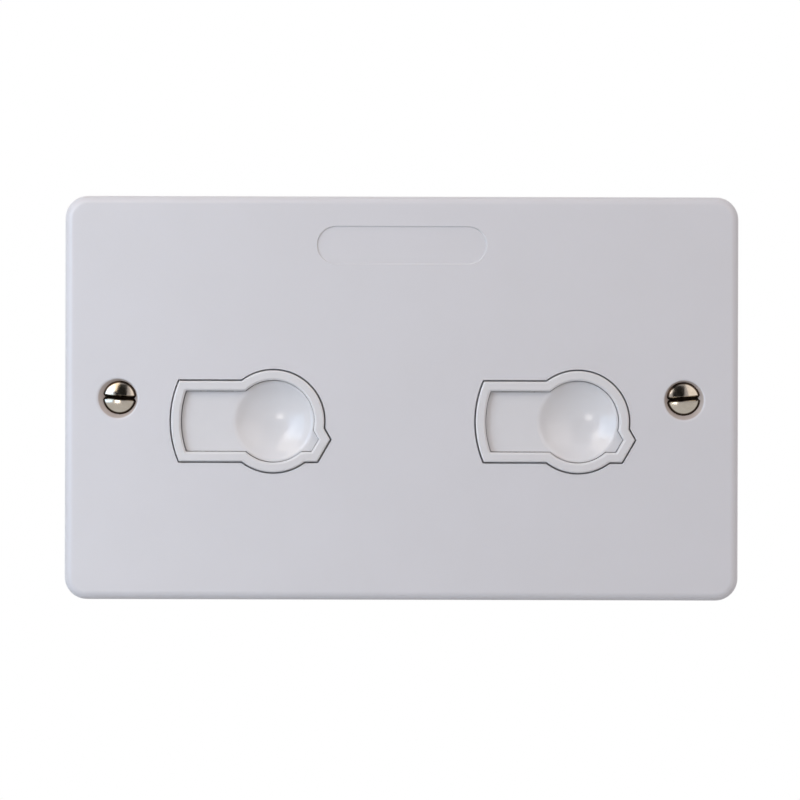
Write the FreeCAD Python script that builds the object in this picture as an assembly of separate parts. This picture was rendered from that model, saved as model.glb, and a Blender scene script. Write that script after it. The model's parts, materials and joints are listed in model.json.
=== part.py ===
import FreeCAD, Part
import math
import os

# Two-gang wall socket with two keyed outlets, each closed by a sprung shutter with a finger dish.
# Millimetres. X runs to the right as seen from the room, Y into the wall and Z up.
# The origin is midway between the two fixing screws, on the wall plane (y = 0).

# Front plate
FIXING_CENTRES = 120.6
PLATE_WIDTH = 144.6
PLATE_HEIGHT = 86.8
PLATE_DEPTH = 9.0
FACE_THICKNESS = 2.6
SIDE_WALL = 2.4
PLATE_CORNER_RADIUS = 5.0
PLATE_EDGE_RADIUS = 2.0
DRAFT_ANGLE = 1.5
RIB_THICKNESS = 1.2
RIB_DEPTH = 3.0
RIB_INSET = 4.0

# Shallow pill-shaped recess above the outlets
RECESS_LENGTH = 36.2
RECESS_HEIGHT = 8.0
RECESS_DEPTH = 0.35
RECESS_RISE = 32.7

# Fixing screws, their pillars and their countersinks
SCREW_DIAMETER = 3.5
SCREW_SHANK_DIAMETER = 3.1
SCREW_HEAD_DIAMETER = 7.3
SCREW_DOME_HEIGHT = 0.8
SCREW_LENGTH = 25.0
SCREW_TIP_CHAMFER = 0.5
SCREW_SLOT_WIDTH = 0.85
SCREW_SLOT_DEPTH = 1.0
LEFT_SLOT_ANGLE = 3.5
RIGHT_SLOT_ANGLE = -4.0
SCREW_HOLE_DIAMETER = 4.2
SCREW_SEAT_CLEARANCE = 0.03
COUNTERSINK_MOUTH = 8.8
PILLAR_DIAMETER = 9.0
PILLAR_SETBACK = 0.2

# Places of the outlets, from the origin to the centre of each outlet's circle
OUTLET_PITCH = 65.1
OUTLET_SHIFT = 5.15
OUTLET_DROP = 5.0

# Keyed form of the outlet bore: a circle, an arm to the left and a key tab at the lower right
BORE_RADIUS = 8.8
BORE_HALF_HEIGHT = 6.5
ARM_REACH = 19.75
KEY_REACH = 10.35
KEY_ANGLE = 30.0

# Outlet wells
RIM_WIDTH = 2.1
RIM_PROUD = 0.5
RIM_OUTER_CHAMFER = 0.3
RIM_INNER_CHAMFER = 0.4
CUTOUT_CLEARANCE = 0.3
WELL_FLANGE_WIDTH = 1.5
WELL_FLANGE_THICKNESS = 2.0
STOP_DEPTH = 6.3
STOP_STEP = 0.7

# Shutters
SHUTTER_CLEARANCE = 0.2
SHUTTER_RECESS = 1.6
SHUTTER_TRAVEL = 6.5
SHUTTER_END_GAP = 1.65
SHUTTER_WALL = 1.4
SHUTTER_SKIN = 1.6
SKIRT_LENGTH = 3.0
STOP_GAP = 0.05
NOTCH_SIDE_CLEARANCE = 0.6
DISH_RIM = 0.2
DISH_DEPTH = 2.8
DISH_EDGE_RADIUS = 2.0

# Shutter springs and the pegs that centre them
SPRING_DIAMETER = 10.0
SPRING_WIRE = 0.6
SPRING_TURNS = 5
SPRING_SEAT_DEPTH = 6.0
SPRING_END_GAP = 0.05
STEPS_PER_TURN = 10
WIRE_SIDES = 6
PEG_CLEARANCE = 0.3
PEG_LENGTH = 2.0
PEG_RIB = 1.2

# Contacts: a leaf along the side of the bore and a foot on a bar behind the carrier
LEAF_WIDTH = 6.0
LEAF_THICKNESS = 0.6
LEAF_GAP = 0.1
LEAF_TIP_DEPTH = 4.3
LEAF_TIP_TAPER = 0.2
LEAF_TIP_LENGTH = 0.4
LEAF_SIDE_CLEARANCE = 0.3
LEAF_BACK_CLEARANCE = 0.2
LEAF_BEND_RADIUS = 0.6
LEAF_FROM_ARM_END = 7.25

# Bars behind the carrier and the moulded square pins that they are threaded over
BAR_WIDTH = 6.0
BAR_THICKNESS = 1.2
BAR_CLEARANCE = 0.2
BAR_END_MARGIN = 0.5
PIN_SIZE = 2.4
PIN_CLEARANCE = 0.1
PIN_PROUD = 0.6
PIN_FROM_END = 11.0

# Terminals
TERMINAL_SIZE = 8.0
TERMINAL_HEIGHT = 10.0
TERMINAL_CHAMFER = 0.4
WIRE_BORE_DIAMETER = 4.2
WIRE_BORE_HEIGHT = 5.4
CLAMP_SCREW_DIAMETER = 4.0
CLAMP_SCREW_CLEARANCE = 0.05
CLAMP_SCREW_LENGTH = 3.3
CLAMP_TIP_GAP = 0.2
CLAMP_HEAD_DIAMETER = 6.4
CLAMP_HEAD_HEIGHT = 2.2
CLAMP_SLOT_WIDTH = 1.0
CLAMP_SLOT_DEPTH = 1.1
LINE_TERMINAL_X = 8.0
EARTH_TERMINAL_X = -8.0
EARTH_TERMINAL_PITCH = 16.0

# Contact carrier and rear cover
CARRIER_WALL = 1.6
CARRIER_FLOOR = 2.0
CARRIER_SIDE_CLEARANCE = 0.3
CARRIER_HALF_HEIGHT = 25.0
CARRIER_CORNER_RADIUS = 3.0
CARRIER_TOP_GAP = 0.2
COVER_THICKNESS = 1.6
COVER_STANDOFF = 2.6
COVER_WINDOW_CLEARANCE = 0.5
SHROUD_WALL = 1.2
SHROUD_HEIGHT = 5.0

# Screws that hold the rear cover and the carrier to the plate
COVER_SCREW_INSET = 5.0
COVER_SCREW_DIAMETER = 2.4
COVER_SCREW_LENGTH = 19.0
COVER_SCREW_HEAD_DIAMETER = 5.2
COVER_SCREW_HEAD_HEIGHT = 1.8
COVER_SCREW_HOLE = 3.2
CROSS_LENGTH = 3.2
CROSS_WIDTH = 0.8
CROSS_DEPTH = 0.9
COLUMN_WALL = 2.4
COLUMN_GAP = 0.2
BOSS_DIAMETER = 7.0
BOSS_LENGTH = 5.4
PILOT_DIAMETER = 2.5

# Stations along Y that follow from the sizes above
FACE_FRONT = -PLATE_DEPTH
FACE_BACK = FACE_FRONT + FACE_THICKNESS
RIM_FRONT = FACE_FRONT - RIM_PROUD
STOP_FACE = RIM_FRONT + STOP_DEPTH
SHUTTER_FRONT = RIM_FRONT + SHUTTER_RECESS
SKIRT_FRONT = STOP_FACE + STOP_GAP
SKIRT_BACK = SKIRT_FRONT + SKIRT_LENGTH
WELL_BACK = SKIRT_BACK + SHUTTER_TRAVEL + SHUTTER_END_GAP
SPRING_SEAT = RIM_FRONT + SPRING_SEAT_DEPTH
LEAF_TIP = RIM_FRONT + LEAF_TIP_DEPTH
FLOOR_BACK = WELL_BACK + CARRIER_FLOOR
BAR_BACK = FLOOR_BACK + BAR_THICKNESS
FOOT_BACK = BAR_BACK + LEAF_THICKNESS
COVER_INSIDE = FLOOR_BACK + COVER_STANDOFF
COVER_BACK = COVER_INSIDE + COVER_THICKNESS
TERMINAL_BACK = BAR_BACK + TERMINAL_HEIGHT
WIRE_BORE_Y = BAR_BACK + WIRE_BORE_HEIGHT

# Places along X and Z that follow from the sizes above
OUTLETS = {"left": OUTLET_SHIFT - OUTLET_PITCH / 2, "right": OUTLET_SHIFT + OUTLET_PITCH / 2}
OUTLET_Z = -OUTLET_DROP
DISH_RADIUS = BORE_RADIUS - SHUTTER_CLEARANCE - DISH_RIM
LEAF_OUTSIDE = LEAF_GAP + LEAF_THICKNESS
BAR_INNER = BORE_HALF_HEIGHT + LEAF_OUTSIDE + LEAF_BEND_RADIUS + BAR_CLEARANCE
BAR_RISE = BAR_INNER + BAR_WIDTH / 2
LEAF_FROM_CENTRE = ARM_REACH - LEAF_FROM_ARM_END
LEFT_CONTACT_X = OUTLETS["left"] - LEAF_FROM_CENTRE
RIGHT_CONTACT_X = OUTLETS["right"] - LEAF_FROM_CENTRE
STRAP_LEFT = OUTLETS["left"] - ARM_REACH - LEAF_GAP + LEAF_BEND_RADIUS + BAR_CLEARANCE
STRAP_RIGHT = OUTLETS["right"] - ARM_REACH - LEAF_OUTSIDE - LEAF_BEND_RADIUS - BAR_CLEARANCE
BAR_LEFT = LEFT_CONTACT_X - LEAF_WIDTH / 2 - BAR_END_MARGIN
BAR_RIGHT = RIGHT_CONTACT_X + LEAF_WIDTH / 2 + BAR_END_MARGIN

# The sides of an outlet that have a contact: live above the arm, neutral below it, earth at its end
LEAF_SIDES = ("up", "down", "left")


def point(x, y, z):
    """A place in the socket's own frame."""
    return FreeCAD.Vector(x, y, z)


def save(name, shape):
    """Write one piece to its own file."""
    shape.exportStep("parts/" + name + ".step")


def rod(diameter, x, z, y_start, y_end):
    """Solid cylinder along Y."""
    return Part.makeCylinder(diameter / 2, y_end - y_start, point(x, y_start, z), point(0, 1, 0))


def block(x_low, x_high, y_low, y_high, z_low, z_high):
    """Rectangular block between two corners."""
    size = (x_high - x_low, y_high - y_low, z_high - z_low)
    return Part.makeBox(*size, point(x_low, y_low, z_low))


def fuse(shapes):
    """Join shapes that are moulded or made as one."""
    return shapes[0].multiFuse(shapes[1:]).removeSplitter()


def prism(wire, y_start, y_end):
    """Solid between two Y stations from an outline drawn in the plane y = 0."""
    face = Part.Face(wire)
    face.translate(point(0, y_start, 0))
    return face.extrude(point(0, y_end - y_start, 0))


def towards(angle):
    """Unit vector in the plate's plane, at an angle in degrees from right towards up."""
    return point(math.cos(math.radians(angle)), 0, math.sin(math.radians(angle)))


def rounded_rectangle(width, height, radius, y):
    """Rounded rectangle in the plane at y, centred on the plate."""
    arcs = []
    for quarter, (side_x, side_z) in enumerate([(1, 1), (-1, 1), (-1, -1), (1, -1)]):
        centre = point(side_x * (width / 2 - radius), y, side_z * (height / 2 - radius))
        arcs.append([centre + towards(quarter * 90 + turn) * radius for turn in (0, 45, 90)])
    edges = []
    for arc, following in zip(arcs, arcs[1:] + arcs[:1]):
        edges.append(Part.Arc(*arc).toShape())
        edges.append(Part.makeLine(arc[-1], following[0]))
    return Part.Wire(edges)


def drafted_block(width, height, radius, y_back, y_front):
    """Rounded block that narrows from its back to its front by the moulding draft."""
    lean = (y_back - y_front) * math.tan(math.radians(DRAFT_ANGLE))
    back = rounded_rectangle(width, height, radius, y_back)
    front = rounded_rectangle(width - 2 * lean, height - 2 * lean, radius - lean, y_front)
    return Part.makeLoft([back, front], True, True)


def keyed_wire(centre_x, growth):
    """Outline of the keyed form about an outlet's centre, grown outwards all round."""
    radius = BORE_RADIUS + growth
    half = BORE_HALF_HEIGHT + growth
    arm = ARM_REACH + growth
    key = KEY_REACH + growth
    across = math.cos(math.radians(KEY_ANGLE))
    down = math.sin(math.radians(KEY_ANGLE))
    shoulder = math.sqrt(radius**2 - half**2)
    arm_corner = math.sqrt(arm**2 - half**2)

    def at(x, z):
        return point(centre_x + x, 0, OUTLET_Z + z)

    arm_top = at(-arm_corner, half)
    arm_bottom = at(-arm_corner, -half)
    neck_top = at(-shoulder, half)
    neck_bottom = at(-shoulder, -half)
    key_foot = at(shoulder, -half)
    key_low = at((key - down * half) / across, -half)
    key_high = at((key + half) / (2 * across), (half - key) / (2 * down))
    key_side = at(across * half + down * shoulder, down * half - across * shoulder)
    crown = at(radius * down, radius * across)
    return Part.Wire([
        Part.makeLine(neck_top, arm_top),
        Part.Arc(arm_top, at(-arm, 0), arm_bottom).toShape(),
        Part.makeLine(arm_bottom, neck_bottom),
        Part.Arc(neck_bottom, at(0, -radius), key_foot).toShape(),
        Part.makeLine(key_foot, key_low),
        Part.makeLine(key_low, key_high),
        Part.makeLine(key_high, key_side),
        Part.Arc(key_side, crown, neck_top).toShape(),
    ])


def keyed_prism(centre_x, growth, y_start, y_end):
    """Straight prism of the keyed form."""
    return prism(keyed_wire(centre_x, growth), y_start, y_end)


def keyed_taper(centre_x, growth_start, growth_end, y_start, y_end):
    """Keyed form that widens or narrows from one Y station to another."""
    start = keyed_wire(centre_x, growth_start)
    end = keyed_wire(centre_x, growth_end)
    start.translate(point(0, y_start, 0))
    end.translate(point(0, y_end, 0))
    return Part.makeLoft([start, end], True, True)


def flange_sides(centre_x):
    """Left and right sides of a well's flange, beyond the arm's end and the key tab's corner."""
    key_corner = (KEY_REACH + BORE_HALF_HEIGHT) / 2 + RIM_WIDTH
    key_corner = key_corner / math.cos(math.radians(KEY_ANGLE))
    left = centre_x - ARM_REACH - RIM_WIDTH - WELL_FLANGE_WIDTH
    right = centre_x + key_corner + WELL_FLANGE_WIDTH
    return left, right


def carrier_sides():
    """Outer left and right sides of the carrier, beside the wells' flanges."""
    beside = CARRIER_SIDE_CLEARANCE + CARRIER_WALL
    return flange_sides(OUTLETS["left"])[0] - beside, flange_sides(OUTLETS["right"])[1] + beside


def cover_screw_places():
    """Places (x, z) of the four screws in the carrier's corners."""
    left, right = carrier_sides()
    inset = CARRIER_WALL + COVER_SCREW_INSET
    rise = CARRIER_HALF_HEIGHT - inset
    return [(x, OUTLET_Z + z) for x in (left + inset, right - inset) for z in (-rise, rise)]


def corner_blocks(y_start, y_end):
    """Moulded corner blocks that the cover screws pass through, inside the carrier's outline."""
    left, right = carrier_sides()
    half = COVER_SCREW_HOLE / 2 + COLUMN_WALL
    outline = carrier_block(y_start, y_end, 0)
    blocks = []
    for x, z in cover_screw_places():
        x_low, x_high = (left, x + half) if x < OUTLET_SHIFT else (x - half, right)
        top = OUTLET_Z + CARRIER_HALF_HEIGHT
        bottom = OUTLET_Z - CARRIER_HALF_HEIGHT
        z_low, z_high = (bottom, z + half) if z < OUTLET_Z else (z - half, top)
        blocks.append(block(x_low, x_high, y_start, y_end, z_low, z_high).common(outline))
    return blocks


def pill_recess():
    """Cutter for the shallow recess with round ends."""
    flat = (RECESS_LENGTH - RECESS_HEIGHT) / 2
    low = RECESS_RISE - RECESS_HEIGHT / 2
    high = RECESS_RISE + RECESS_HEIGHT / 2
    bottom = FACE_FRONT + RECESS_DEPTH
    ends = [rod(RECESS_HEIGHT, x, RECESS_RISE, FACE_FRONT, bottom) for x in (-flat, flat)]
    return fuse([block(-flat, flat, FACE_FRONT, bottom, low, high)] + ends)


def front_plate():
    """Moulded plate: a drafted tray with a rounded front edge and everything moulded on its back."""
    plate = drafted_block(PLATE_WIDTH, PLATE_HEIGHT, PLATE_CORNER_RADIUS, 0, FACE_FRONT)
    front_edges = [e for e in plate.Edges if e.BoundBox.YMax < FACE_FRONT + PLATE_EDGE_RADIUS]
    plate = plate.makeFillet(PLATE_EDGE_RADIUS, front_edges)
    inner_width = PLATE_WIDTH - 2 * SIDE_WALL
    inner_height = PLATE_HEIGHT - 2 * SIDE_WALL
    inner_radius = PLATE_CORNER_RADIUS - SIDE_WALL
    plate = plate.cut(drafted_block(inner_width, inner_height, inner_radius, 0, FACE_BACK))
    added = [plate]
    removed = []
    rib_end = FACE_BACK + RIB_DEPTH
    rib_x = FIXING_CENTRES / 2 - PILLAR_DIAMETER / 2
    for side in (-1, 1):
        x = side * FIXING_CENTRES / 2
        mouth = COUNTERSINK_MOUTH / 2
        added.append(rod(PILLAR_DIAMETER, x, 0, FACE_BACK, -PILLAR_SETBACK))
        reach = sorted([x + side * SCREW_HOLE_DIAMETER / 2, side * (PLATE_WIDTH / 2 - SIDE_WALL / 2)])
        half_rib = RIB_THICKNESS / 2
        added.append(block(reach[0], reach[1], FACE_BACK, rib_end, -half_rib, half_rib))
        removed.append(rod(SCREW_HOLE_DIAMETER, x, 0, FACE_FRONT, 0))
        axis = point(0, 1, 0)
        removed.append(Part.makeCone(mouth, 0, mouth, point(x, FACE_FRONT, 0), axis))
        rib_z = side * (inner_height / 2 - RIB_INSET)
        added.append(block(-rib_x, rib_x, FACE_BACK, rib_end, rib_z - half_rib, rib_z + half_rib))
    for x, z in cover_screw_places():
        added.append(rod(BOSS_DIAMETER, x, z, FACE_BACK, FACE_BACK + BOSS_LENGTH))
        removed.append(rod(PILOT_DIAMETER, x, z, FACE_BACK, FACE_BACK + BOSS_LENGTH))
    for centre_x in OUTLETS.values():
        removed.append(keyed_prism(centre_x, RIM_WIDTH + CUTOUT_CLEARANCE, FACE_FRONT, FACE_BACK))
    return fuse(added).cut(removed).cut(pill_recess())


def fixing_screw(x, slot_angle):
    """Raised countersunk screw, turned to profile, with a straight slot."""
    head = SCREW_HEAD_DIAMETER / 2 - SCREW_SEAT_CLEARANCE
    shank = SCREW_SHANK_DIAMETER / 2
    thread = SCREW_DIAMETER / 2
    rim_y = FACE_FRONT + (COUNTERSINK_MOUTH - SCREW_HEAD_DIAMETER) / 2
    tip_y = rim_y + SCREW_LENGTH
    dome_radius = (head**2 + SCREW_DOME_HEIGHT**2) / (2 * SCREW_DOME_HEIGHT)
    dome_centre = rim_y - SCREW_DOME_HEIGHT + dome_radius
    half_angle = math.asin(head / dome_radius) / 2
    top = point(0, rim_y - SCREW_DOME_HEIGHT, 0)
    on_dome = point(
        dome_radius * math.sin(half_angle), dome_centre - dome_radius * math.cos(half_angle), 0
    )
    corners = [
        point(head, rim_y, 0),
        point(shank, rim_y + head - shank, 0),
        point(shank, 0, 0),
        point(thread, 0, 0),
        point(thread, tip_y - SCREW_TIP_CHAMFER, 0),
        point(thread - SCREW_TIP_CHAMFER, tip_y, 0),
        point(0, tip_y, 0),
        top,
    ]
    edges = [Part.Arc(top, on_dome, corners[0]).toShape()]
    for start, end in zip(corners, corners[1:]):
        edges.append(Part.makeLine(start, end))
    screw = Part.Face(Part.Wire(edges)).revolve(point(0, 0, 0), point(0, 1, 0), 360)
    slot_bottom = top.y + SCREW_SLOT_DEPTH
    half_slot = SCREW_SLOT_WIDTH / 2
    slot = block(-head, head, top.y, slot_bottom, -half_slot, half_slot)
    slot.rotate(point(0, 0, 0), point(0, 1, 0), slot_angle)
    screw = screw.cut(slot)
    screw.translate(point(x, 0, 0))
    return screw


def leaf_box(centre_x, side, inner, outer, width, y_start, y_end):
    """Block on one side of an outlet, between two distances from the bore's wall there.

    The side is up, down or left: the arm's two flanks and the arm's end.
    """
    half = width / 2
    if side == "left":
        wall = centre_x - ARM_REACH
        return block(wall - outer, wall - inner, y_start, y_end, OUTLET_Z - half, OUTLET_Z + half)
    x = centre_x - LEAF_FROM_CENTRE
    sign = 1 if side == "up" else -1
    low, high = sorted([
        OUTLET_Z + sign * (BORE_HALF_HEIGHT + inner), OUTLET_Z + sign * (BORE_HALF_HEIGHT + outer)
    ])
    return block(x - half, x + half, y_start, y_end, low, high)


def well(centre_x):
    """Moulded outlet well: a keyed tube with a proud rim, a flange and a stop step for the shutter."""
    straight = keyed_prism(centre_x, RIM_WIDTH, RIM_FRONT + RIM_OUTER_CHAMFER, WELL_BACK)
    lip = keyed_taper(
        centre_x, RIM_WIDTH - RIM_OUTER_CHAMFER, RIM_WIDTH, RIM_FRONT, RIM_FRONT + RIM_OUTER_CHAMFER
    )
    left, right = flange_sides(centre_x)
    rise = BORE_RADIUS + RIM_WIDTH + WELL_FLANGE_WIDTH
    flange_back = FACE_BACK + WELL_FLANGE_THICKNESS
    flange = block(left, right, FACE_BACK, flange_back, OUTLET_Z - rise, OUTLET_Z + rise)
    shell = fuse([straight, lip, flange])
    shell = shell.cut(keyed_prism(centre_x, 0, RIM_FRONT, WELL_BACK))
    mouth = keyed_taper(
        centre_x, RIM_INNER_CHAMFER, 0, RIM_FRONT, RIM_FRONT + RIM_INNER_CHAMFER
    )
    removed = [mouth, keyed_prism(centre_x, STOP_STEP, STOP_FACE, WELL_BACK)]
    slot_width = LEAF_WIDTH + 2 * LEAF_SIDE_CLEARANCE
    slot_depth = LEAF_OUTSIDE + LEAF_BACK_CLEARANCE
    for side in LEAF_SIDES:
        removed.append(leaf_box(
            centre_x, side, -RIM_WIDTH, slot_depth, slot_width,
            LEAF_TIP - LEAF_SIDE_CLEARANCE, WELL_BACK
        ))
    return shell.cut(removed)


def shutter(centre_x):
    """Moulded shutter: a keyed cup with a spherical finger dish and a guide skirt.

    The floor is thicker behind the dish, where its back is the spring's seat.
    """
    face_growth = -SHUTTER_CLEARANCE
    body = keyed_prism(centre_x, face_growth, SHUTTER_FRONT, SKIRT_BACK)
    skirt = keyed_prism(centre_x, STOP_STEP - SHUTTER_CLEARANCE, SKIRT_FRONT, SKIRT_BACK)
    outside = fuse([body, skirt])
    skin_back = SHUTTER_FRONT + SHUTTER_SKIN
    hollow = keyed_prism(centre_x, face_growth - SHUTTER_WALL, skin_back, SKIRT_BACK)
    hollow = hollow.cut(rod(2 * DISH_RADIUS, centre_x, OUTLET_Z, skin_back, SPRING_SEAT))
    peg_tip = SPRING_SEAT + PEG_LENGTH
    peg = spring_peg(centre_x, SPRING_SEAT, peg_tip)
    notches = []
    notch_width = LEAF_WIDTH + 2 * NOTCH_SIDE_CLEARANCE
    for side in LEAF_SIDES:
        notches.append(leaf_box(
            centre_x, side, face_growth, STOP_STEP, notch_width, SKIRT_FRONT, SKIRT_BACK
        ))
    return fuse([outside.cut([hollow, finger_dish(centre_x)]), peg]).cut(notches)


def finger_dish(centre_x):
    """Cutter for the finger dish: a bowl of a sphere with a rounded edge that runs out into the floor."""
    bowl_radius = (DISH_RADIUS**2 + DISH_DEPTH**2) / (2 * DISH_DEPTH)
    bowl_centre = point(0, SHUTTER_FRONT + DISH_DEPTH - bowl_radius, 0)
    reach = bowl_radius + DISH_EDGE_RADIUS
    edge_centre = point(math.sqrt(reach**2 - (reach - DISH_DEPTH) ** 2), SHUTTER_FRONT + DISH_EDGE_RADIUS, 0)
    outwards = (edge_centre - bowl_centre) / reach
    meeting = bowl_centre + outwards * bowl_radius
    brink = edge_centre - point(0, DISH_EDGE_RADIUS, 0)
    half_round = (point(0, -1, 0) - outwards).normalize()
    wall_top = brink - point(0, SHUTTER_RECESS, 0)
    axis_top = point(0, wall_top.y, 0)
    profile = Part.Wire([
        Part.Arc(meeting, edge_centre + half_round * DISH_EDGE_RADIUS, brink).toShape(),
        Part.makeLine(brink, wall_top),
        Part.makeLine(wall_top, axis_top),
        Part.makeLine(axis_top, meeting),
    ])
    edge = Part.Face(profile).revolve(point(0, 0, 0), point(0, 1, 0), 360)
    bowl = Part.makeSphere(bowl_radius, bowl_centre, point(0, 0, 1))
    dish = edge.fuse(bowl)
    dish.translate(point(centre_x, 0, OUTLET_Z))
    return dish


def spring_peg(centre_x, y_start, y_end):
    """Two crossed ribs that keep a spring's end in place."""
    reach = SPRING_DIAMETER / 2 - SPRING_WIRE - PEG_CLEARANCE
    half = PEG_RIB / 2
    return fuse([
        block(centre_x - reach, centre_x + reach, y_start, y_end, OUTLET_Z - half, OUTLET_Z + half),
        block(centre_x - half, centre_x + half, y_start, y_end, OUTLET_Z - reach, OUTLET_Z + reach),
    ])


def shutter_spring(centre_x):
    """Compression spring with closed ends, between the shutter's seat and the carrier's floor."""
    coil_radius = (SPRING_DIAMETER - SPRING_WIRE) / 2
    start = SPRING_SEAT + SPRING_END_GAP + SPRING_WIRE / 2
    end = WELL_BACK - SPRING_END_GAP - SPRING_WIRE / 2
    pitch = (end - start - 2 * SPRING_WIRE) / (SPRING_TURNS - 2)
    sections = []
    for step in range(SPRING_TURNS * STEPS_PER_TURN + 1):
        turn = step / STEPS_PER_TURN
        closed = min(turn, 1) + max(turn - SPRING_TURNS + 1, 0)
        y = start + closed * SPRING_WIRE + (turn - closed) * pitch
        around = 2 * math.pi * turn
        corners = []
        for side in range(WIRE_SIDES + 1):
            angle = 2 * math.pi * side / WIRE_SIDES
            radius = coil_radius + SPRING_WIRE / 2 * math.cos(angle)
            corners.append(point(
                centre_x + radius * math.cos(around),
                y + SPRING_WIRE / 2 * math.sin(angle),
                OUTLET_Z + radius * math.sin(around),
            ))
        sections.append(Part.makePolygon(corners))
    return Part.makeLoft(sections, True, True)


def contact(foot_side):
    """Folded strip: a leaf along Y and a foot, drawn with the leaf's bore face at x = 0.

    The foot turns away from the bore for a foot_side of 1 and under it for -1.
    """
    thickness = LEAF_THICKNESS
    bend = LEAF_BEND_RADIUS
    inside = thickness if foot_side > 0 else 0
    outside = 0 if foot_side > 0 else thickness
    centre = point(inside + foot_side * bend, BAR_BACK - bend, 0)
    half_turn = math.sin(math.radians(45))
    foot_end = inside + foot_side * (bend + BAR_CLEARANCE + BAR_WIDTH)

    def on_bend(radius):
        return point(centre.x - foot_side * radius * half_turn, centre.y + radius * half_turn, 0)

    inner_start = point(inside, centre.y, 0)
    inner_end = point(centre.x, BAR_BACK, 0)
    outer_start = point(outside, centre.y, 0)
    outer_end = point(centre.x, FOOT_BACK, 0)
    shoulder = point(inside, LEAF_TIP + LEAF_TIP_LENGTH, 0)
    shoulder_out = point(outside, LEAF_TIP + LEAF_TIP_LENGTH, 0)
    taper = math.copysign(LEAF_TIP_TAPER, outside - inside)
    tip = point(inside + taper, LEAF_TIP, 0)
    tip_out = point(outside - taper, LEAF_TIP, 0)
    edges = [
        Part.makeLine(shoulder, inner_start),
        Part.Arc(inner_start, on_bend(bend), inner_end).toShape(),
        Part.makeLine(inner_end, point(foot_end, BAR_BACK, 0)),
        Part.makeLine(point(foot_end, BAR_BACK, 0), point(foot_end, FOOT_BACK, 0)),
        Part.makeLine(point(foot_end, FOOT_BACK, 0), outer_end),
        Part.Arc(outer_end, on_bend(bend + thickness), outer_start).toShape(),
        Part.makeLine(outer_start, shoulder_out),
        Part.makeLine(shoulder_out, tip_out),
        Part.makeLine(tip_out, tip),
        Part.makeLine(tip, shoulder),
    ]
    strip = Part.Face(Part.Wire(edges)).extrude(point(0, 0, LEAF_WIDTH))
    strip.translate(point(0, 0, -LEAF_WIDTH / 2))
    return strip


def placed_contact(centre_x, side):
    """One contact against one wall of an outlet's arm."""
    if side == "left":
        foot_side = -1 if centre_x < OUTLET_SHIFT else 1
        piece = contact(foot_side)
        piece.rotate(point(0, 0, 0), point(0, 1, 0), 180)
        piece.translate(point(centre_x - ARM_REACH - LEAF_GAP, 0, OUTLET_Z))
        return piece
    sign = 1 if side == "up" else -1
    piece = contact(1)
    piece.rotate(point(0, 0, 0), point(0, 1, 0), -90 * sign)
    rise = sign * (BORE_HALF_HEIGHT + LEAF_GAP)
    piece.translate(point(centre_x - LEAF_FROM_CENTRE, 0, OUTLET_Z + rise))
    return piece


def bar_z(side):
    """Height of a bar's centre line: the live bar is up, the neutral down and the earth strap between."""
    return {"up": OUTLET_Z + BAR_RISE, "down": OUTLET_Z - BAR_RISE, "left": OUTLET_Z}[side]


def bar_ends(side):
    """Left and right ends of a bar."""
    return (STRAP_LEFT, STRAP_RIGHT) if side == "left" else (BAR_LEFT, BAR_RIGHT)


def pin_places(side):
    """Places along X of the two moulded pins that a bar is threaded over."""
    left, right = bar_ends(side)
    return [left + PIN_FROM_END, right - PIN_FROM_END]


def terminal_places(side):
    """Places along X of the terminals on a bar."""
    if side == "left":
        return [EARTH_TERMINAL_X - EARTH_TERMINAL_PITCH, EARTH_TERMINAL_X]
    return [LINE_TERMINAL_X]


def square_pin(x, z, size, y_start, y_end):
    """Square pin along Y."""
    half = size / 2
    return block(x - half, x + half, y_start, y_end, z - half, z + half)


def bar(side):
    """Flat bar with square holes for the moulded pins."""
    left, right = bar_ends(side)
    z = bar_z(side)
    strip = block(left, right, FLOOR_BACK, BAR_BACK, z - BAR_WIDTH / 2, z + BAR_WIDTH / 2)
    hole_size = PIN_SIZE + 2 * PIN_CLEARANCE
    holes = [square_pin(x, z, hole_size, FLOOR_BACK, BAR_BACK) for x in pin_places(side)]
    return strip.cut(holes)


def terminal(x, side):
    """Brass block with a wire bore along Z and a tapped hole from the back."""
    z = bar_z(side)
    half = TERMINAL_SIZE / 2
    body = block(x - half, x + half, BAR_BACK, TERMINAL_BACK, z - half, z + half)
    upright = [e for e in body.Edges if e.BoundBox.YLength > TERMINAL_HEIGHT / 2]
    body = body.makeChamfer(TERMINAL_CHAMFER, upright)
    start = point(x, WIRE_BORE_Y, z - half)
    bore = Part.makeCylinder(WIRE_BORE_DIAMETER / 2, TERMINAL_SIZE, start, point(0, 0, 1))
    tapped = rod(CLAMP_SCREW_DIAMETER + 2 * CLAMP_SCREW_CLEARANCE, x, z, WIRE_BORE_Y, TERMINAL_BACK)
    return body.cut([bore, tapped])


def terminal_screws():
    """Four slotted cheese-head clamp screws, backed off so that the wire bores are open."""
    tip = WIRE_BORE_Y + WIRE_BORE_DIAMETER / 2 + CLAMP_TIP_GAP
    head_start = tip + CLAMP_SCREW_LENGTH
    head_end = head_start + CLAMP_HEAD_HEIGHT
    half_slot = CLAMP_SLOT_WIDTH / 2
    reach = CLAMP_HEAD_DIAMETER / 2
    screws = []
    for side in LEAF_SIDES:
        z = bar_z(side)
        for x in terminal_places(side):
            shank = rod(CLAMP_SCREW_DIAMETER, x, z, tip, head_start)
            head = rod(CLAMP_HEAD_DIAMETER, x, z, head_start, head_end)
            slot = block(
                x - reach, x + reach, head_end - CLAMP_SLOT_DEPTH, head_end,
                z - half_slot, z + half_slot
            )
            screws.append(fuse([shank, head]).cut(slot))
    return Part.makeCompound(screws)


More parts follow.
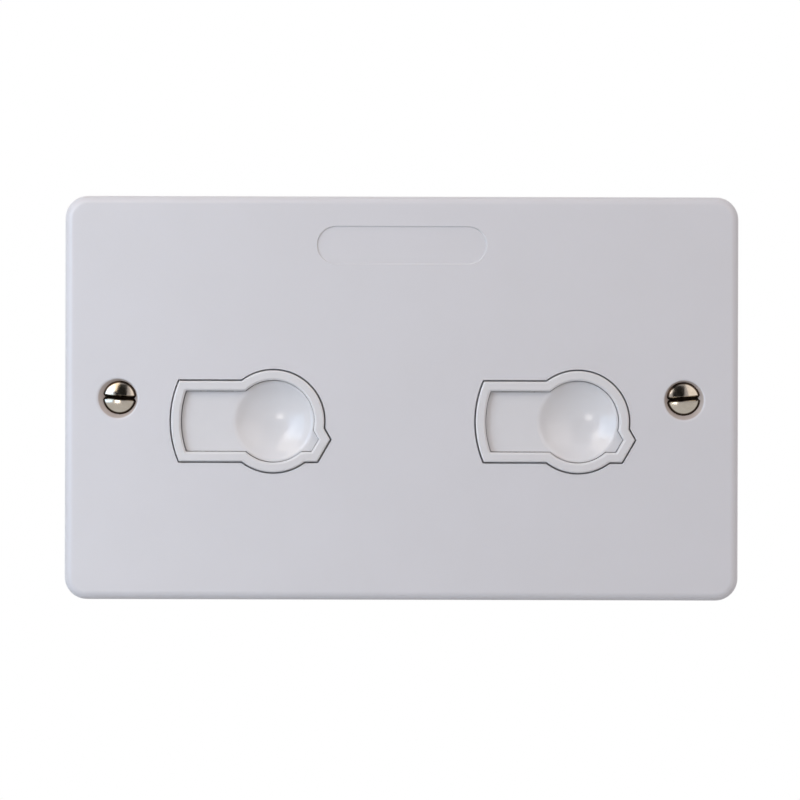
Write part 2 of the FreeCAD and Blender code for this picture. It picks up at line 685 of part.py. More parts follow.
def carrier_outline(y, inset):
    """Rounded outline of the carrier and its cover, which both outlets' flanges fit inside."""
    left, right = carrier_sides()
    wire = rounded_rectangle(
        right - left - 2 * inset, 2 * (CARRIER_HALF_HEIGHT - inset), CARRIER_CORNER_RADIUS - inset, y
    )
    wire.translate(point((left + right) / 2, 0, OUTLET_Z))
    return wire


def carrier_block(y_start, y_end, inset):
    """Solid of the carrier's outline between two Y stations."""
    return Part.Face(carrier_outline(y_start, inset)).extrude(point(0, y_end - y_start, 0))


def contact_carrier():
    """Moulded tray behind the wells: a floor with pegs, pins and windows, walls and screw columns."""
    wall_front = FACE_BACK + CARRIER_TOP_GAP
    tray = carrier_block(wall_front, FLOOR_BACK, 0)
    tray = tray.cut(carrier_block(wall_front, WELL_BACK, CARRIER_WALL))
    added = [tray]
    removed = []
    added.extend(corner_blocks(FACE_BACK + BOSS_LENGTH + COLUMN_GAP, FLOOR_BACK))
    for x, z in cover_screw_places():
        removed.append(rod(COVER_SCREW_HOLE, x, z, FACE_BACK, FLOOR_BACK))
    window_width = LEAF_WIDTH + 2 * LEAF_SIDE_CLEARANCE
    for centre_x in OUTLETS.values():
        added.append(spring_peg(centre_x, WELL_BACK - PEG_LENGTH, WELL_BACK))
        for side in LEAF_SIDES:
            removed.append(leaf_box(
                centre_x, side, LEAF_GAP - LEAF_BEND_RADIUS - BAR_CLEARANCE,
                LEAF_OUTSIDE + LEAF_BEND_RADIUS, window_width, WELL_BACK, FLOOR_BACK
            ))
    for side in LEAF_SIDES:
        for x in pin_places(side):
            added.append(square_pin(x, bar_z(side), PIN_SIZE, WELL_BACK, BAR_BACK + PIN_PROUD))
    return fuse(added).cut(removed)


def rear_cover():
    """Moulded cover over the bars, with a window and an open-sided shroud for each terminal."""
    skirt = carrier_block(FLOOR_BACK, COVER_BACK, 0)
    skirt = skirt.cut(carrier_block(FLOOR_BACK, COVER_INSIDE, CARRIER_WALL))
    added = [skirt]
    removed = []
    added.extend(corner_blocks(FLOOR_BACK, COVER_BACK))
    for x, z in cover_screw_places():
        removed.append(rod(COVER_SCREW_HOLE, x, z, FLOOR_BACK, COVER_BACK))
    shroud_back = COVER_BACK + SHROUD_HEIGHT
    for side in LEAF_SIDES:
        z = bar_z(side)
        wire_side = -1 if side == "down" else 1
        for x in terminal_places(side):
            hole = TERMINAL_SIZE / 2 + COVER_WINDOW_CLEARANCE
            wall = hole + SHROUD_WALL
            added.append(block(x - wall, x + wall, COVER_BACK, shroud_back, z - wall, z + wall))
            removed.append(block(x - hole, x + hole, COVER_INSIDE, shroud_back, z - hole, z + hole))
            low, high = sorted([z, z + wire_side * wall])
            removed.append(block(x - hole, x + hole, COVER_BACK, shroud_back, low, high))
    return fuse(added).cut(removed)


def cover_screws():
    """Four long cheese-head screws with cross recesses, through the cover and carrier into the plate."""
    screws = []
    half_length = CROSS_LENGTH / 2
    half_width = CROSS_WIDTH / 2
    head_end = COVER_BACK + COVER_SCREW_HEAD_HEIGHT
    cross_start = head_end - CROSS_DEPTH
    for x, z in cover_screw_places():
        shank = rod(COVER_SCREW_DIAMETER, x, z, COVER_BACK - COVER_SCREW_LENGTH, COVER_BACK)
        head = rod(COVER_SCREW_HEAD_DIAMETER, x, z, COVER_BACK, head_end)
        across = block(
            x - half_length, x + half_length, cross_start, head_end, z - half_width, z + half_width
        )
        upright = block(
            x - half_width, x + half_width, cross_start, head_end, z - half_length, z + half_length
        )
        screws.append(fuse([shank, head]).cut([across, upright]))
    return Part.makeCompound(screws)


os.makedirs("parts", exist_ok=True)
save("front_plate", front_plate())
save("fixing_screws", Part.makeCompound([
    fixing_screw(-FIXING_CENTRES / 2, LEFT_SLOT_ANGLE),
    fixing_screw(FIXING_CENTRES / 2, RIGHT_SLOT_ANGLE),
]))
for gang, outlet_x in OUTLETS.items():
    save(gang + "_well", well(outlet_x))
    save(gang + "_shutter", shutter(outlet_x))
    save(gang + "_shutter_spring", shutter_spring(outlet_x))
    save(gang + "_live_contact", placed_contact(outlet_x, "up"))
    save(gang + "_neutral_contact", placed_contact(outlet_x, "down"))
    save(gang + "_earth_contact", placed_contact(outlet_x, "left"))
save("live_bar", bar("up"))
save("neutral_bar", bar("down"))
save("earth_strap", bar("left"))
save("live_terminal", terminal(LINE_TERMINAL_X, "up"))
save("neutral_terminal", terminal(LINE_TERMINAL_X, "down"))
for gang, terminal_x in zip(OUTLETS, terminal_places("left")):
    save(gang + "_earth_terminal", terminal(terminal_x, "left"))
save("terminal_screws", terminal_screws())
save("contact_carrier", contact_carrier())
save("rear_cover", rear_cover())
save("cover_screws", cover_screws())
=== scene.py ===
"""Two-gang wall socket with keyed outlets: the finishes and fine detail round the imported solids.

Metres in Blender; sizes below are in millimetres and pass through MM. X runs to the right as seen
from the room, Y into the wall and Z up. Directions to lights are an azimuth in degrees to the
right of the line to the camera and an elevation above it.
"""

import json
import math

import bmesh
import bpy
from mathutils import Euler, Matrix, Vector


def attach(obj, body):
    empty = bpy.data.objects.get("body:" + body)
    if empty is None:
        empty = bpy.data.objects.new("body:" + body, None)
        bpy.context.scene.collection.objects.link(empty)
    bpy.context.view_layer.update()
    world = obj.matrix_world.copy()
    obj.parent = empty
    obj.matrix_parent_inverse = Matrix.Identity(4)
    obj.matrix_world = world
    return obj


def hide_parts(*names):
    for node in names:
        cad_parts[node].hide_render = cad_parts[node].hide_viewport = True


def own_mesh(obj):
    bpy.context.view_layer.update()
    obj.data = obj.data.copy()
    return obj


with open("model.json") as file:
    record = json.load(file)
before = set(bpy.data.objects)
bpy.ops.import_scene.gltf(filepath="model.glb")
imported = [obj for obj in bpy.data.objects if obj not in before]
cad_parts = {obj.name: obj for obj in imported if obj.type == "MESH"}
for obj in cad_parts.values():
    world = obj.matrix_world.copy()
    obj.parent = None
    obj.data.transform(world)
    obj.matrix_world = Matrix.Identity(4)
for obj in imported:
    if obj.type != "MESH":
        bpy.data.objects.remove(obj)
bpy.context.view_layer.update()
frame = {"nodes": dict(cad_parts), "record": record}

MM = 0.001
GANGS = ("left", "right")

# Camera: straight on, from half a metre, with a long lens and the picture's slight lean
CAMERA_DISTANCE = 507.4
CAMERA_LENS = 105.0
CAMERA_X = -0.33
CAMERA_Z = -0.38
CAMERA_LEAN = 0.15

# Blotches in the metals' colour
TARNISH_BLOTCH = 3.0
PLATING_BLOTCH = 0.9

# Painted shade on the walls of the plate's countersinks, from none to full: reach from the screw's axis, and
# stations
COUNTERSINK_PAINTED_SHADE = "#AFA198"
COUNTERSINK_SHADE_REACH = (4.5, 4.8)
COUNTERSINK_SHADE_FRONT = (-8.92, -8.7)
COUNTERSINK_SHADE_BACK = (-6.5, -6.0)

# Painted shade on a fixing screw's head, in its slot and round its rim: depth under the dome in the slot,
# reach from the axis at the rim, and the stations under the crown where it ends
HEAD_PAINTED_SHADE = "#33281F"
SHADE_BALL_RADIUS = 8.6
SLOT_SHADE_DEPTH = (0.18, 0.4)
RIM_SHADE_REACH = (3.02, 3.24)
HEAD_SHADE_END = (1.1, 1.4)

# Edge radii of the mouldings and metal pieces
PLATE_EDGE = 0.16
COUNTERSINK_LIP = 0.34
RECESS_LIP = 0.22
RIM_EDGE = 0.14
SHUTTER_EDGE = 0.12
SHUTTER_SWELL = 0.085
SHUTTER_FRONT = -7.0
REAR_EDGE = 0.25
STRIP_EDGE = 0.1
BLOCK_EDGE = 0.18
SCREW_EDGE = 0.06
SHARP_TURN = 28.0

# Fixing screws: raised countersunk, slotted, driven to slightly different angles
DOME_HEIGHT = 0.8
HEAD_RIM_ROUND = 0.22
FIXING_SHANK_RADIUS = 1.55
FIXING_THREAD_RADIUS = 1.75
FIXING_THREAD_LENGTH = 16.25
FIXING_PITCH = 0.6
FIXING_SLOT = (0.85, 1.0)
FIXING_ANGLES = (3.5, -4.0)
FIXING_PLACES = ((-60.3, 0), (60.3, 0))
SLOT_WEAR = 0.2

# Clamp screws of the terminals: slotted cheese heads
CLAMP_HEAD_HEIGHT = 2.2
CLAMP_THREAD_RADIUS = 2.0
CLAMP_PITCH = 0.7
CLAMP_SLOT = (1.0, 1.1)
CLAMP_ANGLES = (12.0, -31.0, 58.0, 4.0)

# Cover screws: thread-forming, with cross recesses
COVER_HEAD_HEIGHT = 1.8
COVER_THREAD_RADIUS = 1.2
COVER_PITCH = 1.06
COVER_CROSS = (0.8, 0.9, 3.2)
COVER_ANGLES = (20.0, -14.0, 37.0, 8.0)

# Shutter springs, closed for a turn at each end
SPRING_TURNS = 5.0
SPRING_WIRE = 0.6

# Soft boxes: azimuth, elevation, distance, width, height, lean, level and colour.
# A level of 1 is white in a mirror.
SOFT_BOXES = {
    "window": (-33, 18, 1800, 380, 1150, -38, 1.8, "#FBFBFF"),
    "left_cool": (-46, 8, 450, 240, 300, 0, 2.6, "#BADDFF"),
    "left_warm": (-40, 34, 430, 270, 270, 0, 1.8, "#FFEDD6"),
    "left_low": (-72, 2, 500, 280, 300, 0, 0.6, "#F0FAFF"),
    "right_wall": (44, 22, 1500, 1200, 1200, 0, 0.75, "#FFF4E7"),
    "lamp": (-14.7, -8.7, 1100, 220, 150, 0, 6.0, "#FFFBF4"),
}
# Dark doorway that the bright metal mirrors: azimuth, elevation, distance, width and height
DOORWAY = (-5, 15.7, 1450, 850, 1120)
ROOM_LEVEL = 0.595
ROOM_COLOUR = "#FDF9FF"


def linear(code):
    """Linear colour, with full alpha, from an sRGB hex value."""
    channels = [int(code[start:start + 2], 16) / 255 for start in (1, 3, 5)]
    return [c / 12.92 if c <= 0.04045 else ((c + 0.055) / 1.055) ** 2.4 for c in channels] + [1]


def add(tree, kind, links=None, **settings):
    """Adds a node with its settings; links gives an output or a plain value for each named input."""
    made = tree.nodes.new(kind)
    for name, value in settings.items():
        setattr(made, name, value)
    for name, value in (links or {}).items():
        if isinstance(value, bpy.types.NodeSocket):
            tree.links.new(value, made.inputs[name])
        else:
            made.inputs[name].default_value = value
    return made


def surface(name, colour, fixed):
    """New material whose shader has a plain colour and the fixed values on its own sockets."""
    material = bpy.data.materials.new(name)
    material.use_nodes = True
    material.diffuse_color = linear(colour)
    tree = material.node_tree
    shader = tree.nodes["Principled BSDF"]
    shader.inputs["Base Color"].default_value = linear(colour)
    for socket, value in fixed.items():
        shader.inputs[socket].default_value = value
    return material, tree, shader


def dress(tree, shader, colour, gloss, roughness, relief, depth):
    """Joins patterns to a shader: its colour, its roughness between two limits, and its relief.

    The depth of the relief is in millimetres.
    """
    rough = add(tree, "ShaderNodeMapRange", {"Value": gloss, "To Min": roughness[0], "To Max": roughness[1]})
    bump = add(tree, "ShaderNodeBump", {"Height": relief, "Distance": depth * MM})
    tree.links.new(colour, shader.inputs["Base Color"])
    tree.links.new(rough.outputs["Result"], shader.inputs["Roughness"])
    tree.links.new(bump.outputs["Normal"], shader.inputs["Normal"])


def countersink_painted_shade(tree, place, resin, x, z):
    """The resin's colour with painted shade on the wall of one countersink."""
    part = add(tree, "ShaderNodeSeparateXYZ", {"Vector": place})
    flat = add(tree, "ShaderNodeCombineXYZ", {"X": part.outputs["X"], "Z": part.outputs["Z"]})
    reach = add(
        tree, "ShaderNodeVectorMath", {0: flat.outputs["Vector"], 1: (x * MM, 0, z * MM)},
        operation="DISTANCE"
    )
    near = add(
        tree, "ShaderNodeMapRange",
        {"Value": reach.outputs["Value"], "From Min": COUNTERSINK_SHADE_REACH[0] * MM,
         "From Max": COUNTERSINK_SHADE_REACH[1] * MM, "To Min": 0.9, "To Max": 0.0}
    )
    sunk = add(
        tree, "ShaderNodeMapRange",
        {"Value": part.outputs["Y"], "From Min": COUNTERSINK_SHADE_FRONT[0] * MM,
         "From Max": COUNTERSINK_SHADE_FRONT[1] * MM, "To Max": near.outputs["Result"]},
        interpolation_type="SMOOTHSTEP"
    )
    shade_amount = add(
        tree, "ShaderNodeMapRange",
        {"Value": part.outputs["Y"], "From Min": COUNTERSINK_SHADE_BACK[0] * MM,
         "From Max": COUNTERSINK_SHADE_BACK[1] * MM, "To Min": sunk.outputs["Result"], "To Max": 0.0}
    )
    # Painted shade: the countersink's wall is darkened where it runs back from the face
    shades = {"Factor": shade_amount.outputs["Result"], "A": resin, "B": linear(COUNTERSINK_PAINTED_SHADE)}
    return add(tree, "ShaderNodeMix", shades, data_type="RGBA").outputs["Result"]


def head_painted_shade(tree, place, plated):
    """The plating's colour with painted shade in a fixing screw's slot and round the rim of its head."""
    part = add(tree, "ShaderNodeSeparateXYZ", {"Vector": place})
    flat = add(tree, "ShaderNodeCombineXYZ", {"X": part.outputs["X"], "Z": part.outputs["Z"]})
    reach = add(
        tree, "ShaderNodeVectorMath", {0: flat.outputs["Vector"]}, operation="LENGTH"
    ).outputs["Value"]
    squared = add(tree, "ShaderNodeMath", {0: reach, 1: reach}, operation="MULTIPLY").outputs[0]
    fall = add(
        tree, "ShaderNodeMath", {0: squared, 1: 2 * SHADE_BALL_RADIUS * MM}, operation="DIVIDE"
    ).outputs[0]
    under_dome = add(
        tree, "ShaderNodeMath", {0: part.outputs["Y"], 1: fall}, operation="SUBTRACT"
    ).outputs[0]
    in_slot = add(
        tree, "ShaderNodeMapRange",
        {"Value": under_dome, "From Min": SLOT_SHADE_DEPTH[0] * MM, "From Max": SLOT_SHADE_DEPTH[1] * MM},
        interpolation_type="SMOOTHSTEP"
    )
    at_rim = add(
        tree, "ShaderNodeMapRange",
        {"Value": reach, "From Min": RIM_SHADE_REACH[0] * MM, "From Max": RIM_SHADE_REACH[1] * MM},
        interpolation_type="SMOOTHSTEP"
    )
    either = add(
        tree, "ShaderNodeMath", {0: in_slot.outputs["Result"], 1: at_rim.outputs["Result"]},
        operation="MAXIMUM"
    )
    on_head = add(
        tree, "ShaderNodeMapRange",
        {"Value": part.outputs["Y"], "From Min": HEAD_SHADE_END[0] * MM, "From Max": HEAD_SHADE_END[1] * MM,
         "To Min": 1.0, "To Max": 0.0}
    )
    shade_amount = add(
        tree, "ShaderNodeMath", {0: either.outputs[0], 1: on_head.outputs["Result"]},
        operation="MULTIPLY"
    )
    # Painted shade: the slot and the rim of the head are darkened
    shades = {"Factor": shade_amount.outputs[0], "A": plated, "B": linear(HEAD_PAINTED_SHADE)}
    return add(tree, "ShaderNodeMix", shades, data_type="RGBA").outputs["Result"]


def moulding(name, colour, shade, roughness, peel, depth, cloud=14, painted_shade=()):
    """Moulded plastic: faint clouds of colour, and a skin that copies the tool's polish.

    The peel is the spacing of the skin's ripples and depth their height, the cloud the size of the
    colour's clouds, all in millimetres. Painted shade gives the places of countersinks whose walls are
    darkened as painted shade.
    """
    material, tree, shader = surface(name, colour, {"IOR": 1.56})
    place = add(tree, "ShaderNodeTexCoord").outputs["Object"]
    clouds = add(tree, "ShaderNodeTexNoise", {"Vector": place, "Scale": 1 / (cloud * MM), "Detail": 3})
    skin = add(
        tree, "ShaderNodeTexNoise", {"Vector": place, "Scale": 1 / (peel * MM), "Detail": 2}
    ).outputs["Fac"]
    shades = {"Factor": clouds.outputs["Fac"], "A": linear(colour), "B": linear(shade)}
    resin = add(tree, "ShaderNodeMix", shades, data_type="RGBA").outputs["Result"]
    # Painted shade on the wall of each countersink
    for x, z in painted_shade:
        resin = countersink_painted_shade(tree, place, resin, x, z)
    dress(tree, shader, resin, skin, (roughness - 0.04, roughness + 0.04), skin, depth)
    return material


def drawn_metal(name, colour, tarnish, roughness, grain, depth, along=(1, 1, 1)):
    """Rolled or drawn metal: blotches of tarnish, and fine lines that run along one axis.

    The grain is the spacing of the lines and depth their height, in millimetres; along shrinks the
    pattern's scale on the axis that the lines follow. Real lines are several times finer, too fine
    to show.
    """
    material, tree, shader = surface(name, colour, {"Metallic": 1.0})
    place = add(tree, "ShaderNodeTexCoord").outputs["Object"]
    blotches = add(
        tree, "ShaderNodeTexNoise", {"Vector": place, "Scale": 1 / (TARNISH_BLOTCH * MM), "Detail": 4}
    )
    stretched = add(tree, "ShaderNodeMapping", {"Vector": place, "Scale": along})
    lines = add(
        tree, "ShaderNodeTexNoise",
        {"Vector": stretched.outputs["Vector"], "Scale": 1 / (grain * MM), "Detail": 2}
    ).outputs["Fac"]
    shades = {"Factor": blotches.outputs["Fac"], "A": linear(colour), "B": linear(tarnish)}
    metal = add(tree, "ShaderNodeMix", shades, data_type="RGBA").outputs["Result"]
    dress(tree, shader, metal, lines, (roughness - 0.06, roughness + 0.1), lines, depth)
    return material


def turned_metal(name, colour, tarnish, roughness, feed, depth, painted_shade=False):
    """Plated metal over a turned head: rings of the tool's feed about the screw's own axis.

    The feed is the rings' spacing and depth their height, in millimetres. A real feed is about a
    third of it, too fine to show. With painted shade on, the head's slot and rim are darkened as painted
    shade.
    """
    material, tree, shader = surface(name, colour, {"Metallic": 1.0})
    place = add(tree, "ShaderNodeTexCoord").outputs["Object"]
    axis_place = add(tree, "ShaderNodeAttribute", attribute_name="turned_place").outputs["Vector"]
    rings = add(
        tree, "ShaderNodeTexWave",
        {"Vector": axis_place, "Scale": 1 / (20 * feed * MM) * 2 * math.pi, "Distortion": 1.5, "Detail": 2},
        wave_type="RINGS", rings_direction="Y"
    )
    blotches = add(
        tree, "ShaderNodeTexNoise", {"Vector": place, "Scale": 1 / (PLATING_BLOTCH * MM), "Detail": 4}
    ).outputs["Fac"]
    shades = {"Factor": blotches, "A": linear(colour), "B": linear(tarnish)}
    plated = add(tree, "ShaderNodeMix", shades, data_type="RGBA").outputs["Result"]
    # Painted shade darkens the head's slot and rim
    if painted_shade:
        plated = head_painted_shade(tree, axis_place, plated)
    dress(tree, shader, plated, blotches, (roughness - 0.05, roughness + 0.12), rings.outputs["Fac"], depth)
    return material


finishes = {
    # Urea-formaldehyde, compression moulded against a satin tool: a cool white with a soft sheen, and
    # painted shade on the countersink walls
    "plate": moulding(
        "urea_satin_white", "#D9D8DB", "#D5D4D6", 0.34, 0.7, 0.0015, painted_shade=FIXING_PLACES
    ),
    # Polycarbonate, injection moulded against polished steel: whiter, with crisp window reflections
    "well": moulding("polycarbonate_gloss_white", "#E0DFE0", "#DCDBDB", 0.16, 1.6, 0.0004),
    # The same resin in the shutters, where fingers have dulled the dish a little
    "shutter": moulding("polycarbonate_worn_white", "#E0DFE0", "#DBDADB", 0.16, 1.6, 0.0004, 6),
    # Natural nylon: a warm, milky white with a fine spark-eroded grain
    "carrier": moulding("nylon_natural", "#CFCDC4", "#C4C2B7", 0.45, 0.6, 0.003),
    # Grey glass-filled nylon: the fibres leave a dry, slightly streaky skin
    "cover": moulding("nylon_glass_filled_grey", "#8B8D8F", "#7E8082", 0.52, 0.4, 0.005, 5),
    # Bright nickel over a turned steel head: a warm grey mirror with faint rings, and painted shade in its
    # slot and round its rim
    "fixing_screw": turned_metal("bright_nickel_on_steel", "#CBC4B8", "#BBB1A2", 0.1, 0.16, 0.0006, True),
    # Zinc plate with a clear passivate: a greyer, slightly yellow, half-matt head
    "cover_screw": turned_metal("zinc_on_steel", "#BCBBB2", "#ADA78A", 0.3, 0.14, 0.001),
    # Nickel over brass, dulled where a screwdriver has been
    "terminal_screw": turned_metal("dull_nickel_on_brass", "#C2BBA6", "#AE9F7C", 0.26, 0.2, 0.001),
    # Patented spring wire: dark grey with drawing lines round the coil
    "spring": drawn_metal("drawn_spring_steel", "#9A9B9E", "#7F7D79", 0.28, 0.12, 0.0006),
    # Half-hard brass strip: straight rolling lines and brown fingermarks
    "brass": drawn_metal("rolled_brass_strip", "#CBA860", "#AD8747", 0.28, 0.18, 0.0012, (0.04, 1, 1)),
    # Extruded brass bar, sawn and tumbled: softer, duller gold
    "terminal_brass": drawn_metal(
        "extruded_brass_bar", "#CFAE68", "#B48F50", 0.33, 0.3, 0.002, (1, 0.06, 1)
    ),
    # Phosphor bronze: redder than the brass, with lines along each leaf
    "contact": drawn_metal("phosphor_bronze_strip", "#C08E62", "#9F7049", 0.26, 0.16, 0.001, (1, 0.05, 1)),
}


def body_of(node):
    """Name of the body that a CAD node belongs to."""
    return next(name for name, nodes in frame["record"]["behaviour"]["bodies"].items() if node in nodes)


def slot_of(node):
    """The record's material slot of a CAD node."""
    return next(part["material_slot"] for part in frame["record"]["subparts"] if part["node"] == node)


def stand_for(piece, node):
    """The piece takes the finish of the CAD node's material slot, and the body of the CAD node that it
    replaces.
    """
    piece.data.materials.clear()
    piece.data.materials.append(finishes[slot_of(node)])
    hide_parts(node)
    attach(piece, body_of(node))


def merged_copy(node):
    """The CAD node's mesh as one closed surface with its flat faces whole."""
    body = bmesh.new()
    body.from_mesh(frame["nodes"][node].data)
    bmesh.ops.remove_doubles(body, verts=body.verts, dist=0.001 * MM)
    bmesh.ops.dissolve_limit(body, angle_limit=math.radians(0.4), verts=body.verts, edges=body.edges)
    return body


def round_edges(piece, widths, segments):
    """Live bevel and even shading; widths gives an edge's radius in millimetres from its middle."""
    widest = max(width for _, width in widths)
    body = bmesh.new()
    body.from_mesh(piece.data)
    weight = body.edges.layers.float.new("bevel_weight_edge")
    for edge in body.edges:
        if len(edge.link_faces) == 2 and edge.calc_face_angle() > math.radians(SHARP_TURN):
            middle = (edge.verts[0].co + edge.verts[1].co) / (2 * MM)
            edge[weight] = next(width for holds, width in widths if holds(middle)) / widest
    body.to_mesh(piece.data)
    body.free()
    piece.data.shade_smooth()
    rounding = piece.modifiers.new("edges", "BEVEL")
    rounding.limit_method = "WEIGHT"
    rounding.width = widest * MM
    rounding.segments = segments
    rounding.miter_outer = "MITER_ARC"
    rounding.harden_normals = True
    shading = piece.modifiers.new("shading", "WEIGHTED_NORMAL")
    shading.keep_sharp = True
    shading.weight = 80


def everywhere(_middle):
    """Every edge."""
    return True


def fine_copy(node, edge, segments=3, special=(), settle=None):
    """A merged copy of a CAD node with its edges rounded and its curved faces smooth.

    Settle moves corners, in millimetres, by what the real pieces' play leaves.
    """
    mesh = bpy.data.meshes.new(node + "_mesh")
    body = merged_copy(node)
    if settle:
        body.normal_update()
        moves = [settle(vert.co / MM, vert.normal) for vert in body.verts]
        for vert, move in zip(body.verts, moves):
            vert.co += Vector(move) * MM
    body.to_mesh(mesh)
    body.free()
    piece = bpy.data.objects.new(node + "_fine", mesh)
    bpy.context.collection.objects.link(piece)
    round_edges(piece, list(special) + [(everywhere, edge)], segments)
    stand_for(piece, node)


def loose_boxes(node):
    """Low and high corners, in millimetres, of each separate solid of a CAD node, from left to right."""
    body = merged_copy(node)
    waiting = set(body.verts)
    boxes = []
    while waiting:
        reached = [waiting.pop()]
        corners = []
        while reached:
            vert = reached.pop()
            corners.append(vert.co / MM)
            for edge in vert.link_edges:
                other = edge.other_vert(vert)
                if other in waiting:
                    waiting.remove(other)
                    reached.append(other)
        low = Vector([min(corner[axis] for corner in corners) for axis in range(3)])
        high = Vector([max(corner[axis] for corner in corners) for axis in range(3)])
        boxes.append((low, high))
    body.free()
    return sorted(boxes, key=lambda box: (round(box[0].x, 3), round(box[0].z, 3)))


def turned_blank(name, profile, sides=96):
    """Screw blank turned about Y from (radius, station) pairs in millimetres, crown first."""
    body = bmesh.new()
    rings = []
    for radius, station in profile:
        count = sides if radius else 1
        turns = [2 * math.pi * side / count for side in range(count)]
        rings.append([
            body.verts.new((radius * math.cos(turn) * MM, station * MM, radius * math.sin(turn) * MM))
            for turn in turns
        ])
    for ring, following in zip(rings, rings[1:]):
        for side in range(sides):
            corners = (
                ring[side % len(ring)], ring[(side + 1) % sides % len(ring)],
                following[(side + 1) % sides % len(following)], following[side % len(following)]
            )
            body.faces.new(list(dict.fromkeys(corners)))
    bmesh.ops.recalc_face_normals(body, faces=body.faces)
    mesh = bpy.data.meshes.new(name)
    body.to_mesh(mesh)
    body.free()
    blank = bpy.data.objects.new(name, mesh)
    bpy.context.collection.objects.link(blank)
    return blank


def node_group(name, inputs):
    """Empty Geometry Nodes tree with its named inputs; gives the tree and its input node."""
    tree = bpy.data.node_groups.new(name, "GeometryNodeTree")
    tree.interface.new_socket("Geometry", in_out="INPUT", socket_type="NodeSocketGeometry")
    for label, kind in inputs:
        tree.interface.new_socket(label, in_out="INPUT", socket_type=kind)
    tree.interface.new_socket("Geometry", in_out="OUTPUT", socket_type="NodeSocketGeometry")
    return tree, add(tree, "NodeGroupInput").outputs


def wound_wire(tree, coil_radius, turns, length, wire_radius, points, sides):
    """Helix about Y from the origin, as a curve, and the round or diamond profile of its wire."""
    helix = add(
        tree, "GeometryNodeCurveSpiral",
        {"Resolution": points, "Rotations": turns, "Start Radius": coil_radius, "End Radius": coil_radius,
         "Height": length}
    )
    upright = add(tree, "GeometryNodeSetCurveNormal", {"Curve": helix.outputs["Curve"]}, mode="Z_UP")
    turned = add(
        tree, "GeometryNodeTransform",
        {"Geometry": upright.outputs["Curve"], "Rotation": Euler((-math.pi / 2, 0, 0))}
    )
    section = add(
        tree, "GeometryNodeCurvePrimitiveCircle", {"Resolution": sides, "Radius": wire_radius},
        mode="RADIUS"
    )
    return turned.outputs["Geometry"], section.outputs["Curve"]


